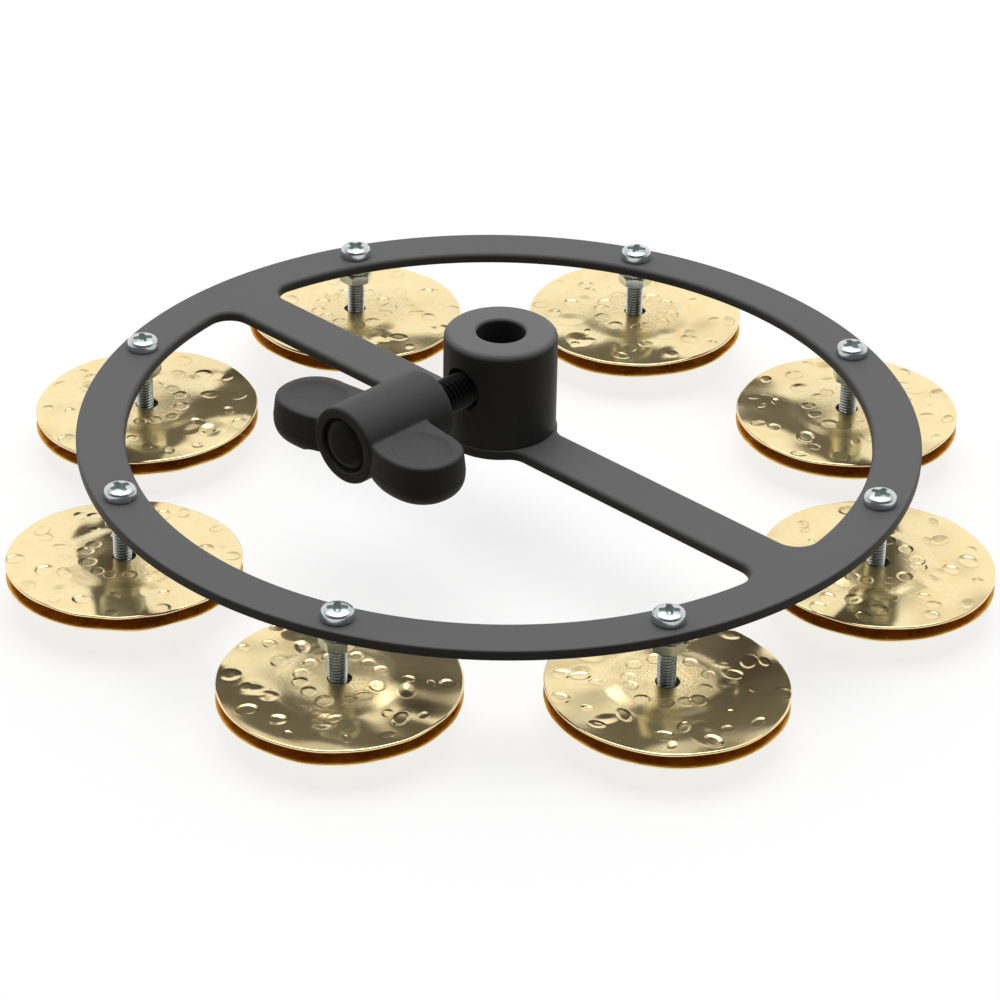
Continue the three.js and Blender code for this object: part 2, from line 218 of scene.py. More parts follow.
# Jingles
JINGLE_THICKNESS = 0.6
JINGLE_HOLE = 2.5
JINGLE_HOLE_EDGE = 0.12
PLATEAU_RADIUS = 9.6
PLATEAU_FOOT = 14.0
PLATEAU_RISE = 0.5
PLATEAU_STEP = 0.36
PLATEAU_SAND_REACH = 2.0
RIM_ROUND = 0.16
UPPER_SEED = 10
LOWER_SEED = 30
INNER_FACING = 0.3

# Hammering: long waves, soft dents, a circle of punch marks on the plateau, and rings of strikes
# outside it, each a share of the rim's radius and a count
WAVES = 7
WAVE_LENGTHS = (9, 24)
WAVE_HEIGHTS = (0.02, 0.065)
SOFT_DENTS = 8
SOFT_CIRCLE_SHARE = 0.66
SOFT_SPREAD_SHARE = 0.2
PUNCH_COUNT = 12
PUNCH_CIRCLE = 8.4
PUNCH_SPREAD = 0.6
STRIKE_RINGS = ((0.60, 7), (0.74, 8), (0.88, 12))
STRIKE_SPREAD_SHARE = 0.05
SWING_SHARE = 0.25
# Each kind of mark, as single values or the ranges from which they are drawn: its size, its width and
# its level floor as shares of that, the depth and by which power of the size it grows, how far the floor
# leans, the lip's height as a share of the depth, and how strong the painted shade along its crease is
Mark = namedtuple("Mark", "size width floor depth growth lean lip brown")
SOFT = Mark((2.6, 4.4), (0.55, 0.9), 0.0, (0.025, 0.05), 1, 0.0, 0.1, 0.0)
PUNCH = Mark((1.6575, 2.145), (0.88, 1.0), 0.68, (0.084, 0.154), 0, (0.3, 0.9), 0.14, (0.7, 1.0))
STRIKE = Mark((1.4, 2.6), (0.55, 0.9), (0.35, 0.75), (0.03, 0.06), 1, (0.4, 1.0), 0.14, (0.3, 0.9))
# Where in a mark's radius its lip and the painted shade along its crease lie, and how wide they are
LIP_SHARES = (1.05, 0.1)
CREASE_SHARES = (0.93, 0.09)

# How each loose pair hangs on its screw: the heading to which it drops, its lean, and the heading to
# which it is shifted, all in degrees
LEANS = ((15, 1.8, 44), (270, 0.6, 160), (300, 1.2, 100), (75, 0.6, 170),
         (265, 1.7, 30), (128, 1.8, 0), (262, 0.8, 10), (26, 1.8, -10))
LOOSE_SHIFT = 0.45

# Studio, in metres: the floor's grey and how bright it shines by itself, the room at each height from
# level to overhead, the share of that on the camera's side and where the sides meet, and the lamp
FLOOR_SIZE = 6
FLOOR_GREY = 0.25
FLOOR_LIFT = 0.76
ROOM_STOPS = ((0.0, 1.0), (0.55, 1.0), (0.64, 0.48), (0.8, 0.48), (0.9, 1.0))
ROOM_FRONT = 0.1
ROOM_SEAM = (-0.4, 0.25)
LAMP_PLACE = (-0.22, 0.25, 1.15)
LAMP_SIZE = 1.25
LAMP_POWER = 10.5

# How many faces go round each kind of curve
ROUND_SIDES = 128
RING_SIDES = 288
HOLE_SIDES = 32
THREAD_SIDES = 48
NUT_SIDES = 96
THREAD_STEPS = 10
JINGLE_SIDES = 420
JINGLE_RINGS = 116


def cad_box(node):
    """Lowest and highest corners of a CAD node, in millimetres."""
    low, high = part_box(node)
    return np.array(low) / MM, np.array(high) / MM


def level_of(node):
    """How high a CAD node starts, and its height."""
    low, high = cad_box(node)
    return low[2], high[2] - low[2]


def station_axis(number):
    """Where the axis of a jingle screw stands."""
    low, high = cad_box(f"jingle_spacer_{number}")
    return (low[:2] + high[:2]) / 2


# Mesh helpers

def arc(x, y, radius, start, end, steps):
    angles = np.linspace(start, end, steps + 1)
    return [np.array([x + radius * math.cos(a), y + radius * math.sin(a)]) for a in angles]


def rounded(corners, steps=5):
    """Points of an outline given as corners (x, y, radius), each corner an arc."""
    points = []
    count = len(corners)
    for i, (x, y, radius) in enumerate(corners):
        corner = np.array([x, y], float)
        if radius == 0:
            points.append(corner)
            continue
        before = np.array(corners[i - 1][:2]) - corner
        after = np.array(corners[(i + 1) % count][:2]) - corner
        before /= np.linalg.norm(before)
        after /= np.linalg.norm(after)
        half = math.acos(max(-1.0, min(1.0, float(before @ after)))) / 2
        bisector = (before + after) / np.linalg.norm(before + after)
        centre = corner + bisector * radius / math.sin(half)
        first = corner + before * radius / math.tan(half) - centre
        last = corner + after * radius / math.tan(half) - centre
        start = math.atan2(first[1], first[0])
        sweep = (math.atan2(last[1], last[0]) - start + math.pi) % TURN - math.pi
        points += arc(centre[0], centre[1], radius, start, start + sweep, steps)
    return points


def linked(name, data):
    """A new object in the scene."""
    item = bpy.data.objects.new(name, data)
    bpy.context.scene.collection.objects.link(item)
    return item


def add_object(name, points, faces, sharp=SMOOTH_ANGLE, crease_shade=None):
    """A mesh object in millimetres, its doubled points merged and its faces turned outwards."""
    mesh = bpy.data.meshes.new(name)
    mesh.from_pydata(np.asarray(points, float).tolist(), [], [list(face) for face in faces])
    # The per-point values carry the painted shade along the discs' marks.
    if crease_shade is not None:
        mesh.attributes.new("crease_shade", "FLOAT", "POINT").data.foreach_set("value", crease_shade.reshape(-1))
    work = bmesh.new()
    work.from_mesh(mesh)
    bmesh.ops.remove_doubles(work, verts=work.verts, dist=MERGE_DISTANCE)
    bmesh.ops.dissolve_degenerate(work, edges=work.edges, dist=MERGE_DISTANCE / 10)
    bmesh.ops.recalc_face_normals(work, faces=work.faces)
    work.to_mesh(mesh)
    work.free()
    item = linked(name, mesh)
    shade(item, sharp)
    return item


def shade(item, sharp):
    item.data.shade_smooth()
    item.data.set_sharp_from_angle(angle=sharp)


def wall_faces(index):
    """Faces between each row of point numbers and the next; each row is a closed loop."""
    low, high = index[:-1], index[1:]
    return np.stack([low, np.roll(low, -1, 1), np.roll(high, -1, 1), high], -1).reshape(-1, 4).tolist()


def loops_to_mesh(name, rows, closed=False, capped=False, sharp=SMOOTH_ANGLE, crease_shade=None):
    """Rows of points, each a closed loop, joined one to the next by faces."""
    rows = np.asarray(rows, float)
    count, sides = rows.shape[:2]
    index = np.arange(count * sides).reshape(count, sides)
    faces = wall_faces(np.vstack([index, index[:1]]) if closed else index)
    if capped:
        faces += [index[0][::-1].tolist(), index[-1].tolist()]
    return add_object(name, rows.reshape(-1, 3), faces, sharp, crease_shade)


def around(radii, heights, sides):
    """Points at even angles about Z; radii and heights may differ from point to point."""
    angles = np.arange(sides) * TURN / sides
    x = radii * np.cos(angles)
    return np.stack([x, radii * np.sin(angles), np.broadcast_to(heights, x.shape)], -1)


def turned_rows(profile, sides=ROUND_SIDES):
    """A profile of (radius, height) points turned about Z, as rows."""
    profile = np.asarray(profile, float)
    return around(profile[:, :1], profile[:, 1:], sides)


def turned(name, corners, sides=ROUND_SIDES, steps=5):
    """A turned piece whose profile has rounded corners and closes on itself or on the axis."""
    profile = rounded(corners, steps)
    on_axis = profile[0][0] == 0 and profile[-1][0] == 0
    return loops_to_mesh(name, turned_rows(profile, sides), closed=not on_axis)


def raised(outline, height):
    """A flat outline at a height."""
    return np.column_stack([outline, np.full(len(outline), height)])


def prism(name, outline, low, high):
    """A flat outline made thick along Z."""
    return loops_to_mesh(name, [raised(outline, low), raised(outline, high)], capped=True)


def settle(item):
    """Puts an object's modifiers into its mesh."""
    view = bpy.context.evaluated_depsgraph_get()
    mesh = bpy.data.meshes.new_from_object(item.evaluated_get(view))
    item.modifiers.clear()
    item.data = mesh


def carve(item, tool, operation="DIFFERENCE"):
    modifier = item.modifiers.new("carve", "BOOLEAN")
    modifier.operation = operation
    modifier.solver = "EXACT"
    modifier.object = tool
    settle(item)
    bpy.data.objects.remove(tool)


def even_normals(item):
    """Keeps large flat faces flat beside their rounded edges."""
    item.modifiers.new("even", "WEIGHTED_NORMAL").keep_sharp = True
    settle(item)


def to_metres(item):
    item.data.transform(Matrix.Scale(MM, 4))
    return item


def dress(item, body, slot, material, *nodes):
    """Gives a finished piece its material and its body, and hides the CAD nodes that it stands for."""
    item.data.materials.clear()
    item.data.materials.append(material)
    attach(item, body)
    if nodes:
        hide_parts(*nodes)
    return item


def copy_at(item, name, x, y, z, turn=0.0):
    """A copy of a piece that shares its mesh, placed in millimetres and turned about Z."""
    copy = linked(name, item.data)
    copy.location = (x * MM, y * MM, z * MM)
    copy.rotation_euler = (0, 0, turn)
    return copy


# Materials

class Nodes:
    """Builds a node tree; sockets are given as values or as links."""

    def __init__(self, tree):
        self.tree = tree
        tree.nodes.clear()

    def add(self, kind, inputs=None, **settings):
        node = self.tree.nodes.new(kind)
        for key, value in settings.items():
            setattr(node, key, value)
        for key, value in (inputs or {}).items():
            if isinstance(value, bpy.types.NodeSocket):
                self.tree.links.new(value, node.inputs[key])
            else:
                node.inputs[key].default_value = value
        return node

    def math(self, operation, first, second=0.0):
        return self.add("ShaderNodeMath", {0: first, 1: second}, operation=operation).outputs["Value"]

    def mapped(self, value, start, end, low, high):
        """Takes a value from one range to another, and keeps it in there."""
        node = self.add("ShaderNodeMapRange", {
            "Value": value, "From Min": start, "From Max": end, "To Min": low, "To Max": high})
        return node.outputs["Result"]

    def mixed(self, share, first, second):
        """A share of the second colour in the first."""
        node = self.add("ShaderNodeMix", {0: share, 6: first, 7: (*second, 1.0)}, data_type="RGBA")
        return node.outputs[2]

    def ramp(self, value, *stops):
        """Maps 0 to 1 onto colours; each stop is a position and a grey or a colour."""
        node = self.add("ShaderNodeValToRGB", {"Fac": value})
        while len(node.color_ramp.elements) < len(stops):
            node.color_ramp.elements.new(1.0)
        for element, (position, colour) in zip(node.color_ramp.elements, stops):
            element.position = position
            if isinstance(colour, (int, float)):
                colour = (colour, colour, colour)
            element.color = (*colour, 1.0)
        return node.outputs["Color"]

    def seen(self):
        """1 for what the camera, mirrors and glass see, 0 for light that falls on matt faces."""
        path = self.add("ShaderNodeLightPath").outputs
        rays = self.math("ADD", path["Is Camera Ray"], path["Is Glossy Ray"])
        return self.math("MINIMUM", self.math("ADD", rays, path["Is Transmission Ray"]), 1.0)

    def surface(self, kind, shader):
        """Links a shader to the tree's output."""
        self.tree.links.new(shader.outputs[0], self.add(kind).inputs["Surface"])


class Shader(Nodes):
    """One node material in the piece's own frame."""

    def __init__(self, name):
        self.material = bpy.data.materials.new(name)
        self.material.use_nodes = True
        super().__init__(self.material.node_tree)
        coordinates = self.add("ShaderNodeTexCoord").outputs
        self.place = coordinates["Object"]
        self.facing = coordinates["Normal"]

    def noise(self, scale, detail=2.0, roughness=0.5, place=None):
        """Noise whose scale is the count of its waves in a metre."""
        node = self.add("ShaderNodeTexNoise", {
            "Vector": place or self.place, "Scale": scale, "Detail": detail, "Roughness": roughness})
        return node.outputs["Fac"]

    def bump(self, height, distance, strength=1.0, normal=None):
        inputs = {"Height": height, "Distance": distance, "Strength": strength}
        if normal is not None:
            inputs["Normal"] = normal
        return self.add("ShaderNodeBump", inputs).outputs["Normal"]

    def painted_top_light(self, cloud, side, top):
        """A grey that is paler where the piece faces up, as painted light from above, and uneven with the
        cloud.
        """
        up = self.add("ShaderNodeSeparateXYZ", {"Vector": self.facing}).outputs["Z"]
        # Painted light from above: the grey is paler where the faces look up.
        grey = self.mapped(up, 0.25, 0.97, side, top)
        return self.math("MULTIPLY", grey, self.mapped(cloud, 0.3, 0.7, 0.92, 1.08))

    def thread_root_shade(self, pitch, end):
        """1 in the roots of a right-hand thread about Z up to the height end, and 0 elsewhere; it masks the
        painted shade in the roots.
        """
        place = self.add("ShaderNodeSeparateXYZ", {"Vector": self.place}).outputs
        turns = self.math("DIVIDE", self.math("ARCTAN2", place["Y"], place["X"]), TURN)
        climb = self.math("SUBTRACT", self.math("DIVIDE", place["Z"], pitch), turns)
        off_crest = self.math("ABSOLUTE", self.math("SUBTRACT", self.math("FRACT", climb), 0.5))
        root_shade = self.ramp(off_crest, (0.22, 0.0), (0.42, 1.0))
        return self.math("MULTIPLY", root_shade, self.math("LESS_THAN", place["Z"], end))

    def finish(self, **inputs):
        named = {key.replace("_", " "): value for key, value in inputs.items()}
        self.surface("ShaderNodeOutputMaterial", self.add("ShaderNodeBsdfPrincipled", named))
        return self.material


def powder_coat(name, side, top, roughness, specular):
    """Satin black powder coat: a fine orange peel, and a paler grey painted on what faces up as light from
    above.
    """
    s = Shader(name)
    peel = s.noise(1300, 2.5, 0.55)
    normal = s.bump(s.noise(240, 1.0), 0.0002, 0.05, s.bump(peel, 0.00004, 0.1))
    colour = s.painted_top_light(s.noise(5200, 1.0), side, top)
    rough = s.ramp(peel, (0.3, roughness - 0.02), (0.7, roughness + 0.03))
    return s.finish(Base_Color=colour, Roughness=rough, Specular_IOR_Level=specular, Normal=normal)


def moulded_plastic(name, side, top, roughness):
    """Black moulded plastic with a fine spark grain and a paler grey painted on what faces up as light from
    above.
    """
    s = Shader(name)
    grain = s.noise(3600, 3.0, 0.65)
    coarse = s.noise(900, 2.0)
    normal = s.bump(coarse, 0.0001, 0.15, s.bump(grain, 0.00012, 0.35))
    colour = s.painted_top_light(grain, side, top)
    rough = s.ramp(coarse, (0.3, roughness - 0.05), (0.7, roughness + 0.06))
    return s.finish(Base_Color=colour, Roughness=rough, Specular_IOR_Level=0.06, Normal=normal)


def black_oxide(name):
    """Black oxide on steel, a little uneven in its gloss."""
    s = Shader(name)
    spots = s.noise(2600, 2.0)
    normal = s.bump(spots, 0.00004, 0.2)
    colour = s.ramp(spots, (0.3, 0.003), (0.75, 0.008))
    rough = s.ramp(spots, (0.2, 0.28), (0.8, 0.46))
    return s.finish(Base_Color=colour, Roughness=rough, Specular_IOR_Level=0.12, Normal=normal)


def zinc_plate(name, roughness, thread_end=0.0):
    """Bright zinc with faint blue and green tints, with painted shade in the roots of a thread up to
    thread_end.
    """
    s = Shader(name)
    tint = s.noise(420, 2.0)
    grain = s.noise(5200, 2.0)
    colour = s.ramp(tint, (0.3, (0.50, 0.60, 0.64)), (0.5, (0.66, 0.70, 0.70)), (0.72, (0.60, 0.67, 0.61)))
    if thread_end:
        # Painted shade: the thread's roots are darkened.
        colour = s.mixed(s.thread_root_shade(THREAD_PITCH * MM, thread_end * MM), colour, (0.10, 0.12, 0.12))
    rough = s.ramp(grain, (0.25, roughness - 0.05), (0.75, roughness + 0.07))
    normal = s.bump(grain, 0.00002, 0.18)
    return s.finish(Base_Color=colour, Metallic=1.0, Roughness=rough, Normal=normal)


def shaded_zinc_recess(name):
    """A darker, greenish zinc in the recess of a screw head, painted shade in the recess."""
    s = Shader(name)
    cloud = s.noise(1500, 2.0)
    colour = s.ramp(cloud, (0.3, (0.34, 0.44, 0.43)), (0.7, (0.60, 0.66, 0.62)))
    return s.finish(Base_Color=colour, Metallic=0.8, Roughness=0.42, Normal=s.bump(cloud, 0.00005, 0.3))


def polished_brass(name):
    """Polished brass, sandy on the plateau, with haze, scratches and painted brown shade in the marks'
    creases.
    """
    s = Shader(name)
    flat = s.add("ShaderNodeVectorMath", {0: s.place, 1: (1, 1, 0)}, operation="MULTIPLY").outputs["Vector"]
    radius = s.add("ShaderNodeVectorMath", {0: flat}, operation="LENGTH").outputs["Value"]
    plateau = s.mapped(radius, PLATEAU_RADIUS * MM, (PLATEAU_FOOT + PLATEAU_SAND_REACH) * MM, 1.0, 0.12)
    sand = s.math("MULTIPLY", plateau, s.ramp(s.noise(85, 2.0), (0.3, 0.35), (0.6, 1.0)))
    stretched = s.add("ShaderNodeMapping", {"Vector": s.place, "Scale": (1.0, 9.0, 1.0)}).outputs["Vector"]
    scratches = s.noise(700, 3.0, 0.6, stretched)
    stipple = s.noise(3600, 2.0, 0.6)
    haze = s.noise(150, 3.0, 0.6)
    specks = s.math("MULTIPLY", s.ramp(s.noise(2900, 1.0), (0.5, 0.0), (0.64, 0.42)), sand)
    crease_shade = s.add("ShaderNodeAttribute", attribute_name="crease_shade").outputs["Fac"]
    specks_and_crease_shade = s.math("MAXIMUM", specks, s.math("MULTIPLY", crease_shade, 0.85))
    colour = s.ramp(haze, (0.3, (1.0, 0.78, 0.39)), (0.55, (1.0, 0.84, 0.48)), (0.8, (1.0, 0.77, 0.40)))
    # Painted shade: dark brown along the marks' creases, with the plateau's dark specks.
    colour = s.mixed(specks_and_crease_shade, colour, (0.30, 0.17, 0.05))
    rough = s.ramp(sand, (0.1, 0.11), (0.9, 0.24))
    normal = s.bump(stipple, 0.00007, s.math("MULTIPLY", sand, 0.6), s.bump(scratches, 0.00003, 0.12))
    return s.finish(Base_Color=colour, Metallic=0.88, Roughness=rough,
                    Specular_IOR_Level=0.1, Normal=normal)


def inner_face_brass(name):
    """The discs' inner faces, a darker and more orange brass."""
    s = Shader(name)
    cloud = s.noise(260, 3.0, 0.6)
    colours = (0.3, (0.62, 0.27, 0.012)), (0.55, (0.85, 0.42, 0.03)), (0.75, (0.95, 0.55, 0.08))
    rough = s.ramp(cloud, (0.3, 0.22), (0.7, 0.4))
    normal = s.bump(cloud, 0.0001, 0.15)
    return s.finish(Base_Color=s.ramp(cloud, *colours), Metallic=0.55, Roughness=rough, Normal=normal)


def nylon(name, low, high, roughness):
    """Nylon, clouded between two colours."""
    s = Shader(name)
    cloud = s.noise(700, 2.0)
    normal = s.bump(s.noise(3000, 2.0), 0.00004, 0.2)
    colour = s.ramp(cloud, (0.3, low), (0.7, high))
    return s.finish(Base_Color=colour, Roughness=roughness, Normal=normal)


# Frame plate

def centre_at(reach, level):
    """A fillet's centre (x, y) at a level and a distance from the middle, and its heading."""
    across = math.sqrt(reach ** 2 - level ** 2)
    return across, level, math.atan2(level, across)


def opening_outline():
    """One opening beside the crossbar, with the rounding of its top edge at each point."""
    ring = cad_box("frame_plate")[1][0] - RING_BAND
    edge = BAR_WIDTH / 2
    corner_x, corner_y, corner = centre_at(ring - BAR_FILLET, edge + BAR_FILLET)
    neck_x, neck_y, neck = centre_at(PAD_RADIUS + PAD_FILLET, edge + PAD_FILLET)
    ramp = np.linspace(OPENING_EDGE_ROUND, PAD_EDGE_ROUND, 9)
    stretches = [
        (arc(corner_x, corner_y, BAR_FILLET, -QUARTER, corner, 14), OPENING_EDGE_ROUND),
        (arc(0, 0, ring, corner, math.pi - corner, 120)[1:-1], OPENING_EDGE_ROUND),
        (arc(-corner_x, corner_y, BAR_FILLET, math.pi - corner, 3 * QUARTER, 14), OPENING_EDGE_ROUND),
        (arc(-neck_x, neck_y, PAD_FILLET, -QUARTER, -neck, 8), ramp),
        (arc(0, 0, PAD_RADIUS, math.pi - neck, neck, 30)[1:-1], PAD_EDGE_ROUND),
        (arc(neck_x, neck_y, PAD_FILLET, math.pi + neck, 3 * QUARTER, 8), ramp[::-1]),
    ]
    points = np.array([point for stretch, _ in stretches for point in stretch])
    rounds = np.concatenate([np.broadcast_to(value, len(stretch)) for stretch, value in stretches])
    return points, rounds


def outward(points):
    """Normals of a closed flat outline, to the right of its direction."""
    along = np.roll(points, -1, 0) - np.roll(points, 1, 0)
    along /= np.linalg.norm(along, axis=1)[:, None]
    return np.column_stack([along[:, 1], -along[:, 0]])


def frame_plate():
    """Ring, crossbar and pad: each outline is a wall with rounded edges, and caps fill in between."""
    low, high = cad_box("frame_plate")
    circle, small = (np.array(arc(0, 0, 1, 0, TURN, sides)[:-1]) for sides in (RING_SIDES, HOLE_SIDES))
    opening, rounds = opening_outline()
    outlines = [
        (circle * high[0], -outward(circle), OUTER_EDGE_ROUND),
        (opening, outward(opening), rounds),
        (opening * (1, -1), outward(opening) * (1, -1), rounds),
        (small * (SPIGOT_RADIUS + HUB_HOLE_CLEARANCE), outward(small), HUB_HOLE_ROUND),
    ]
    for number in STATIONS:
        hole = small * SCREW_HOLE_RADIUS + station_axis(number)
        outlines.append((hole, outward(small), SCREW_HOLE_ROUND))
    points, faces, lower_loops, upper_loops = [], [], [], []
    for outline, inward, rounding in outlines:
        rounding = np.broadcast_to(rounding, len(outline))[:, None]
        lower = np.minimum(LOWER_EDGE_ROUND, rounding)
        rows = []
        for level, up, edge, angles in ((low[2], 1, lower, np.linspace(-QUARTER, 0, 4)),
                                        (high[2], -1, rounding, np.linspace(0, QUARTER, 8))):
            for angle in angles:
                height = level + up * edge * (1 + up * math.sin(angle))
                rows.append(np.hstack([outline + inward * edge * (1 - math.cos(angle)), height]))
        index = len(points) + np.arange(len(rows) * len(outline)).reshape(len(rows), -1)
        points += [point for row in rows for point in row]
        faces += wall_faces(index)
        lower_loops.append(index[0].tolist())
        upper_loops.append(index[-1].tolist())
    for loops in (lower_loops, upper_loops):
        order = [index for loop in loops for index in loop]
        polygons = [[Vector((*points[index][:2], 0)) for index in loop] for loop in loops]
        faces += [tuple(order[corner] for corner in triangle) for triangle in tessellate_polygon(polygons)]
    plate = add_object("ring_and_bar", points, faces, PLATE_ANGLE)
    even_normals(plate)
    return to_metres(plate)


# Hub and clamp bolt

def lying(item, y, z):
    """Turns a piece that stands on Z so that it points to -Y, from the point (0, y, z)."""
    item.data.transform(Matrix.Translation((0, y, z)) @ Matrix.Rotation(QUARTER, 4, "X"))
    return item


def clamp_level():
    level, thickness = level_of("clamp_bolt")
    return level + thickness / 2


def hub_bush():
    """The hub with its bore, its spigot through the plate and the sunk cross hole."""
    low, high = cad_box("hub")
    radius = high[0]
    foot = cad_box("frame_plate")[1][2]
    hub = turned("hub_bush", [
        (BORE_RADIUS, low[2], SPIGOT_ROUND), (SPIGOT_RADIUS, low[2], SPIGOT_ROUND),
        (SPIGOT_RADIUS, foot, 0), (radius, foot, HUB_FOOT_ROUND),
        (radius, high[2], HUB_EDGE_ROUND), (BORE_RADIUS, high[2], BORE_MOUTH_ROUND),
    ], steps=8)
    sink = turned("sink", [
        (0, 0, 0), (CLAMP_HOLE_RADIUS, 0, 0), (CLAMP_HOLE_RADIUS, radius - CLAMP_SINK_DEPTH, 0),
        (CLAMP_SINK_RADIUS, radius, 0), (CLAMP_SINK_RADIUS, radius + OVERRUN, 0), (0, radius + OVERRUN, 0),
    ], 64)
    carve(hub, lying(sink, 0, clamp_level()))
    shade(hub, HUB_ANGLE)
    even_normals(hub)
    return to_metres(hub)


def thread_rows(radius, pitch, depth, start, end):
    """Rows of a right-hand thread about Z; its ridge fades out over the last turn at the end."""
    heights = np.linspace(start, end, max(2, round((end - start) / pitch * THREAD_STEPS)))
    angles = np.arange(THREAD_SIDES) * TURN / THREAD_SIDES
    phase = (heights[:, None] / pitch - angles / TURN) % 1
    ridge = np.clip((1 - np.abs(2 * phase - 1) - THREAD_ROOT_SHARE) / THREAD_FLANK_SHARE, 0, 1)
    fade = np.clip((end - heights) / pitch, 0, 1)[:, None]
    return around(radius - depth * (1 - ridge) * fade, heights[:, None], THREAD_SIDES)


def tip_rows(radius, edge):
    """The flat end of a thread and the start of its chamfer."""
    return turned_rows([(0, 0), (radius, 0), (radius + edge[0], edge[1])], THREAD_SIDES)


def clamp_bolt():
    low, high = cad_box("clamp_bolt")
    radius = high[0]
    length = high[1] - low[1]
    end = length - CLAMP_THREAD_RUNOUT
    rows = np.concatenate([
        tip_rows(radius - CLAMP_TIP_CHAMFER, CLAMP_TIP_EDGE),
        thread_rows(radius, CLAMP_PITCH, CLAMP_THREAD_DEPTH, CLAMP_THREAD_START, end),
        turned_rows([(radius, length), (0, length)], THREAD_SIDES),
    ])
    bolt = loops_to_mesh("bolt_thread", rows)
    return to_metres(lying(bolt, high[1], clamp_level()))


# Wing handle

def mirrored(points):
    """An outline from the middle to the middle again, completed by its mirror image in X."""
    return list(points) + [np.array([-x, y]) for x, y in points[-2:0:-1]]


def wing_front():
    """The wing's limits seen along its barrel; past the lobes' tips and below them they are wide."""
    beyond = LOBE_OFFSET + LOBE_REACH + OVERRUN
    top_x, top_y, top = centre_at(BARREL_RADIUS + LOBE_TOP_FILLET, LOBE_RISE + LOBE_TOP_FILLET)
    arch_x, arch_y, arch = centre_at(BARREL_RADIUS + ARCH_RADIUS, ARCH_DROP + ARCH_RADIUS)
    half = (
        arc(0, 0, BARREL_RADIUS, QUARTER, top, 16)
        + arc(top_x, top_y, LOBE_TOP_FILLET, math.pi + top, 3 * QUARTER, 8)[1:]
        + [np.array([beyond, LOBE_RISE]), np.array([beyond, -arch_y])]
        + arc(arch_x, -arch_y, ARCH_RADIUS, 0, math.pi - arch, 20)
        + arc(0, 0, BARREL_RADIUS, -arch, -QUARTER, 14)[1:]
    )
    return mirrored(half)


def lobe_outline(side, middle, grow):
    """A lobe seen from above: an oval whose inner end widens into the barrel."""
    depth = LOBE_HALF_DEPTH + grow
    power = 2 / LOBE_EXPONENT
    points = []
    for x in np.linspace(LOBE_ROOT_RADIUS, LOBE_OFFSET, 25)[:-1]:
        share = ((LOBE_OFFSET - x) / LOBE_ROOT_REACH) ** LOBE_EXPONENT
        points.append((x, middle - depth * (1 - share) ** (1 / LOBE_EXPONENT)))
    for angle in np.linspace(-QUARTER, QUARTER, 61):
        along = max(math.cos(angle), 0) ** power
        across = math.copysign(abs(math.sin(angle)) ** power, math.sin(angle))
        points.append((LOBE_OFFSET + (LOBE_REACH + grow) * along, middle + depth * across))
    points.append((LOBE_ROOT_RADIUS, middle + depth + LOBE_ROOT_FLARE))
    points = np.array(points)
    points[:, 0] *= side
    return points


def lobe(side, middle, level):
    """A lobe is widest at its parting line, with rounded edges below and above it."""
    stops = []
    for angle in np.linspace(-QUARTER, 0, 14):
        stops.append((PARTING_SWELL - UNDERSIDE_ROUND * (1 - math.cos(angle)),
                      -PARTING_DROP + (LOBE_DROP - PARTING_DROP) * math.sin(angle)))
    for angle in np.linspace(0, QUARTER, 7):
        stops.append((-LOBE_TOP_EDGE * (1 - math.cos(angle)),
                      LOBE_RISE - LOBE_TOP_EDGE * (1 - math.sin(angle))))
    rows = [raised(lobe_outline(side, middle, grow), level + height) for grow, height in stops]
    return loops_to_mesh("lobe", rows, capped=True)


def wing_barrel():
    return turned("wing_moulding", [
        (0, 0, 0), (BARREL_RADIUS, 0, BARREL_ROUND_BACK),
        (BARREL_RADIUS, BARREL_LENGTH, BARREL_ROUND_FRONT), (0, BARREL_LENGTH, 0),
    ], steps=8)


def plug(radius, low, high, sides):
    return turned("plug", [(0, low, 0), (radius, low, 0), (radius, high, 0), (0, high, 0)], sides)


def thumb_dish(place):
    """The cutter for the shallow dish in a lobe's top; its wall leans out above the lobe."""
    shares = np.linspace(0, 1, 14)
    bowl = np.column_stack([shares, DISH_DEPTH * (shares ** 4 - 1)]).tolist()
    wall = [[DISH_FLARE_SHARE, DISH_LIP], [DISH_FLARE_SHARE, OVERRUN], [0, OVERRUN]]
    dish = loops_to_mesh("dish", turned_rows(bowl + wall, 64))
    size = Matrix.Diagonal((DISH_LENGTH / 2, DISH_WIDTH / 2, 1, 1))
    dish.data.transform(Matrix.Translation(place) @ size)
    return dish


def wing_handle():
    """Barrel and lobes, with a pocket for the boss, a socket for the bolt and a dish in each lobe."""
    back = cad_box("wing_handle")[1][1]
    level = clamp_level()
    middle = back - BARREL_LENGTH + LOBE_SETBACK
    wing = lying(wing_barrel(), back, level)
    for side in (-1, 1):
        limits = lying(prism("limits", wing_front(), 0, BARREL_LENGTH + OVERRUN), back, level)
        half = lobe(side, middle, level)
        carve(half, limits, "INTERSECT")
        carve(wing, half, "UNION")
    pocket = plug(POCKET_RADIUS, BARREL_LENGTH - POCKET_DEPTH, BARREL_LENGTH + OVERRUN, 96)
    carve(wing, lying(pocket, back, level))
    carve(wing, lying(plug(SOCKET_RADIUS, -OVERRUN, SOCKET_DEPTH, 64), back, level))
    for side in (-1, 1):
        carve(wing, thumb_dish((side * LOBE_OFFSET, middle, level + LOBE_RISE)))
    remesh = wing.modifiers.new("even", "REMESH")
    remesh.mode = "VOXEL"
    remesh.voxel_size = WING_VOXEL
    soften = wing.modifiers.new("soften", "SMOOTH")
    soften.iterations = WING_SMOOTHING
    settle(wing)
    part_line(wing, level - PARTING_DROP)
    wing.data.shade_smooth()
    return to_metres(wing)


